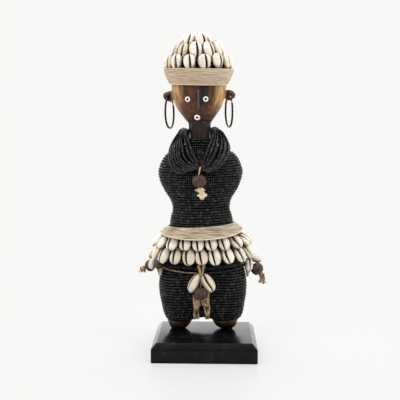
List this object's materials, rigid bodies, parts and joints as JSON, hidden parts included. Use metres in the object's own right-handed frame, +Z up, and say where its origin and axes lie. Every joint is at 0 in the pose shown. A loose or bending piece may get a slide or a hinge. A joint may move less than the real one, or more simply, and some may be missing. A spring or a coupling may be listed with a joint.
{
  "type": "namji doll",
  "caption": "Carved wooden doll wrapped in black glass beads, with a cowrie hat, cowrie skirt, bead necklace and hoop earrings, on a black wooden stand.",
  "frame": {"origin": "centre of the stand's flat underside", "axes": "+Z up, the doll faces -Y, +X to its viewer's right"},
  "size_m": [0.1255, 0.0942, 0.3182],
  "materials": {
    "lacquered_stand": "black satin lacquer, rubbed at the edges",
    "carved_wood": "oiled carved wood, darker on neck, ears and feet",
    "black_beads": "opaque black glass seed beads, glossy",
    "cowrie_shell": "ivory cowrie shell, softly glossy, dark slits",
    "plant_fibre": "layered tan plant fibre",
    "tan_hide": "thin tan hide strips",
    "cream_cord": "knotted cream cord",
    "seed_bead": "dull brown seed, wrinkled",
    "dark_cap": "dark cloth cap",
    "white_ring_beads": "opaque white glass ring beads",
    "blackened_wire": "blackened iron wire"
  },
  "bodies": {
    "root": {"stand": "lacquered_stand", "wooden_figure": "carved_wood", "torso_bead_wrap": "black_beads", "hip_bead_wrap": "black_beads", "eye_left": "white_ring_beads", "eye_right": "white_ring_beads", "mouth_ring": "white_ring_beads", "earring_left": "blackened_wire", "earring_right": "blackened_wire", "hat_cap": "dark_cap", "hat_band": "plant_fibre", "hat_cowries_row_1": "cowrie_shell", "hat_cowries_row_2": "cowrie_shell", "hat_cowries_row_3": "cowrie_shell", "hat_cowries_top": "cowrie_shell", "skirt_band": "plant_fibre", "skirt_cowries_upper": "cowrie_shell", "skirt_cowries_lower": "cowrie_shell", "necklace_strands": "black_beads", "hip_strands": "black_beads", "waist_thong": "tan_hide", "loin_strip_1": "tan_hide", "loin_strip_2": "tan_hide", "loin_strip_3": "tan_hide", "loin_strip_4": "tan_hide", "front_cowrie_left": "cowrie_shell", "front_cowrie_right": "cowrie_shell", "hip_right_cowrie_inner": "cowrie_shell", "hip_right_cowrie_outer": "cowrie_shell", "hip_left_cowrie_inner": "cowrie_shell", "hip_left_cowrie_outer": "cowrie_shell", "necklace_bead": "seed_bead", "front_pendant_bead": "seed_bead", "hip_right_bead": "seed_bead", "hip_left_bead_outer": "seed_bead", "hip_left_bead_inner": "seed_bead", "necklace_cord": "cream_cord", "front_pendant_cord": "tan_hide", "hip_right_cord": "tan_hide", "hip_left_cord": "tan_hide", "hip_right_thong": "tan_hide", "hip_left_thong": "tan_hide"}
  },
  "joints": []
}
